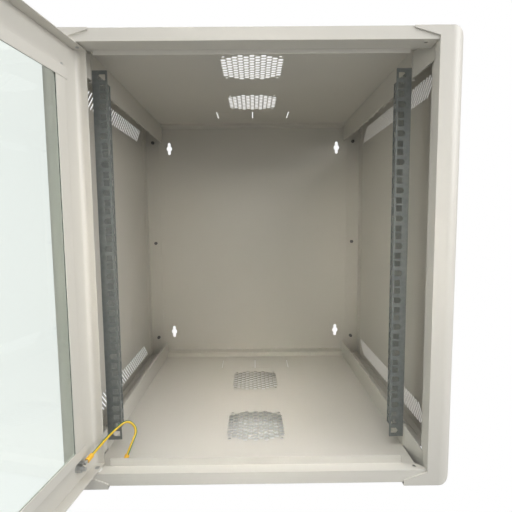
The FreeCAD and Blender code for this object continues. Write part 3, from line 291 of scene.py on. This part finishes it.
# Bolts, nuts and studs
# Hexagon bolts and nuts that hold the rails, and studs welded to the back panel with their nuts.
# Bright zinc plating, smoother than on the rails; the rear ones are duller, and darkened as painted
# shade.
BRIGHT_COLOUR = (0.42, 0.43, 0.43, 1.0)
BRIGHT_LIGHT = (0.60, 0.61, 0.61, 1.0)
# Painted shade: these dark zinc tones stand in for the shadow on the rear studs and nuts.
SHADED_ZINC_DARK = (0.10, 0.10, 0.10, 1.0)
SHADED_ZINC_PALE = (0.18, 0.18, 0.18, 1.0)
bright_zinc = zinc_plated("bright_zinc", BRIGHT_COLOUR, BRIGHT_LIGHT, metal=0.9, least_roughness=0.24)
finish_with(bright_zinc, *both("rail_bolts"), *both("rail_nuts"))
# A darker, duller copy of the zinc for the rear studs and nuts; its darkness is painted shade.
dull_shaded_zinc = zinc_plated("dull_shaded_zinc", SHADED_ZINC_DARK, SHADED_ZINC_PALE, metal=0.6, least_roughness=0.32)
finish_with(dull_shaded_zinc, *both("rear_studs"), *both("rear_nuts"))

# Door pan and glass strips
# A folded steel pan with a large window, and four folded strips riveted to it that hold the glass.
# Same powder coat as the cabinet; the rivets are plain bright heads.
finish_with(paint, "door_pan", "hinge_side_glass_strip", "lock_side_glass_strip", "top_glass_strip",
            "bottom_glass_strip")
finish_with(bright_zinc, "strip_rivets")

# Glass and seal
# A 4 mm pane of clear, slightly green glass behind the window, on a flat black rubber seal.
# Light goes straight through it to what lies behind; faint smears show in its gloss.
GLASS_TINT = (0.90, 0.96, 0.92, 1.0)
GLASS_REFRACTION = 1.5
SEAL_COLOUR = (0.016, 0.016, 0.017, 1.0)
SEAL_DUST = (0.045, 0.045, 0.045, 1.0)
SEAL_GRAIN_DEPTH = 0.0002
glass_shader = new_finish("clear_glass")
smear = glass_shader.noise(6.0, 4.0)
pane = glass_shader.node("BsdfPrincipled", Base_Color=GLASS_TINT, Roughness=smear * 0.03,
                         IOR=GLASS_REFRACTION, Transmission_Weight=1.0)
glass_shader.node("OutputMaterial", Surface=glass_shader.node(
    "MixShader", Fac=glass_shader.node("LightPath", output="Is Shadow Ray"), input_1=pane,
    input_2=glass_shader.node("BsdfTransparent", Color=GLASS_TINT)))
finish_with(glass_shader.owner, "door_glass")
rubber_shader = new_finish("black_rubber")
chalk = rubber_shader.noise(260.0, 4.0)
rubber = rubber_shader.surface(
    Base_Color=rubber_shader.colours(chalk, SEAL_COLOUR, SEAL_DUST), Roughness=chalk * 0.2 + 0.6,
    Normal=rubber_shader.node("Bump", Strength=0.15, Distance=SEAL_GRAIN_DEPTH, Height=chalk))
finish_with(rubber, "glass_seal")

# Hinge
# Turned steel pins on which the door swings: one riveted to the door, which turns in the sill on a
# nylon washer, and one with a head inside the top beam that reaches down through the door's flange.
NYLON_COLOUR = (0.80, 0.80, 0.77, 1.0)
NYLON_SHADE = (0.72, 0.72, 0.69, 1.0)
MOULD_DEPTH = 0.0001
finish_with(bright_zinc, "lower_hinge_pin", "upper_hinge_pin")
nylon_shader = new_finish("white_nylon")
mould = nylon_shader.noise(500.0, 2.0)
nylon = nylon_shader.surface(
    Base_Color=nylon_shader.colours(mould, NYLON_COLOUR, NYLON_SHADE), Roughness=mould * 0.1 + 0.35,
    Normal=nylon_shader.node("Bump", Strength=0.1, Distance=MOULD_DEPTH, Height=mould))
finish_with(nylon, "hinge_washer")

# Lock
# A turned and chromed barrel through the door with a plug for the key; a plated nut holds it
# from behind, and a flat plated cam on the plug catches the upright.
CHROME_COLOUR = (0.74, 0.74, 0.75, 1.0)
CHROME_HAZE = (0.66, 0.66, 0.67, 1.0)
chrome_shader = new_finish("chrome_lock")
haze = chrome_shader.noise(300.0, 4.0)
chrome = chrome_shader.surface(
    Base_Color=chrome_shader.colours(haze, CHROME_COLOUR, CHROME_HAZE), Metallic=1.0,
    Roughness=haze * 0.12 + 0.08, Normal=chrome_shader.rounded(FOLD_RADIUS / 2))
finish_with(chrome, "lock_barrel", "lock_plug")
finish_with(bright_zinc, "lock_nut", "lock_cam", "cam_screw")

# Earth terminals
# A threaded stud with a nut on the door and another behind the sill lip, each with a tinned ring
# terminal whose barrel wears a soft orange sleeve.
SLEEVE_COLOUR = (0.86, 0.46, 0.035, 1.0)
SLEEVE_LIGHT = (0.92, 0.56, 0.06, 1.0)
SLEEVE_GRAIN_DEPTH = 0.0002
finish_with(bright_zinc, "door_earth_stud", "door_earth_nut", "sill_earth_stud", "sill_earth_nut",
            "door_earth_lug", "sill_earth_lug")
sleeve_shader = new_finish("orange_sleeve")
mottle = sleeve_shader.noise(240.0, 3.0)
sleeve = sleeve_shader.surface(
    Base_Color=sleeve_shader.colours(mottle, SLEEVE_COLOUR, SLEEVE_LIGHT), Roughness=mottle * 0.12 + 0.34,
    Normal=sleeve_shader.node("Bump", Strength=0.15, Distance=SLEEVE_GRAIN_DEPTH, Height=mottle,
                              Normal=sleeve_shader.rounded(FOLD_RADIUS)))
finish_with(sleeve, "door_earth_sleeve", "sill_earth_sleeve")

# Earth wire
# A stranded copper wire in a yellow cover with a green stripe that winds slowly round it. It leaves
# the sill terminal, loops loosely inside the cabinet and runs back along the door to its terminal.
WIRE_ROUTE = (
    (-0.2047, -0.51650, 0.0352),
    (-0.2000, -0.50850, 0.0485),
    (-0.1965, -0.48600, 0.0610),
    (-0.2115, -0.48850, 0.0795),
    (-0.2270, -0.50900, 0.0720),
    (-0.2363, -0.53470, 0.0660),
    (-0.2434, -0.55680, 0.0601),
)
WIRE_DIAMETER = 0.0044
WIRE_SIDES = 20
WIRE_STEPS = 14
WIRE_YELLOW = (0.75, 0.50, 0.035, 1.0)
WIRE_GREEN = (0.03, 0.17, 0.07, 1.0)
STRIPE_SHARE = 0.36
STRIPE_START = 0.31
STRIPE_TURNS = -0.9
SCUFF_DEPTH = 0.0002


def tube(name, line, radius, sides, material):
    """A round bar along a line, closed at its ends; its map has U round it and V along it in metres."""
    vertices = []
    along = [0.0]
    across = (line[1] - line[0]).orthogonal().normalized()
    for index, point in enumerate(line):
        ahead = (line[min(index + 1, len(line) - 1)] - line[max(index - 1, 0)]).normalized()
        across = (across - ahead * across.dot(ahead)).normalized()
        aside = ahead.cross(across)
        for step in range(sides):
            angle = 2 * math.pi * step / sides
            vertices.append(point + (across * math.cos(angle) + aside * math.sin(angle)) * radius)
        if index:
            along.append(along[-1] + (point - line[index - 1]).length)
    faces = []
    unrolled = []
    for ring in range(len(line) - 1):
        low = ring * sides
        high = low + sides
        start, end = along[ring], along[ring + 1]
        for step in range(sides):
            following = (step + 1) % sides
            faces.append((low + step, low + following, high + following, high + step))
            near, far = step / sides, (step + 1) / sides
            unrolled += [(near, start), (far, start), (far, end), (near, end)]
    faces.append(tuple(reversed(range(sides))))
    faces.append(tuple(range(len(vertices) - sides, len(vertices))))
    unrolled += [(0.0, along[0])] * sides + [(0.0, along[-1])] * sides
    mesh = bpy.data.meshes.new(name)
    mesh.from_pydata(vertices, [], faces)
    layer = mesh.uv_layers.new(name="unrolled")
    for corner, place in zip(layer.data, unrolled):
        corner.uv = place
    mesh.shade_smooth()
    mesh.materials.append(material)
    item = bpy.data.objects.new(name, mesh)
    scene.collection.objects.link(item)
    return item


wire_curve = bpy.data.curves.new("earth_wire_line", "CURVE")
wire_curve.dimensions = "3D"
wire_curve.resolution_u = WIRE_STEPS
wire_spline = wire_curve.splines.new("NURBS")
wire_spline.points.add(len(WIRE_ROUTE) - 1)
for spot, place in zip(wire_spline.points, WIRE_ROUTE):
    spot.co = (*place, 1.0)
wire_spline.order_u = 3
wire_spline.use_endpoint_u = True
wire_guide = bpy.data.objects.new("earth_wire_line", wire_curve)
wire_path = [vertex.co.copy() for vertex in bpy.data.meshes.new_from_object(wire_guide).vertices]
bpy.data.objects.remove(wire_guide)

cover_shader = new_finish("earth_wire_cover")
cover_map = cover_shader.node("UVMap", {"uv_map": "unrolled"})
round_cover = cover_shader.node("SeparateXYZ", output="X", Vector=cover_map)
along_cover = cover_shader.node("SeparateXYZ", output="Y", Vector=cover_map)
stripe = (round_cover + along_cover * STRIPE_TURNS + STRIPE_START).fraction() < STRIPE_SHARE
scuff = cover_shader.noise(320.0, 4.0)
cover = cover_shader.surface(
    Base_Color=cover_shader.colours(stripe, WIRE_YELLOW, WIRE_GREEN), Roughness=scuff * 0.15 + 0.28,
    Normal=cover_shader.node("Bump", Strength=0.12, Distance=SCUFF_DEPTH, Height=scuff))
wire = tube("earth_wire_cover", wire_path, WIRE_DIAMETER / 2, WIRE_SIDES, cover)
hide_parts("earth_wire")
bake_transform(wire)
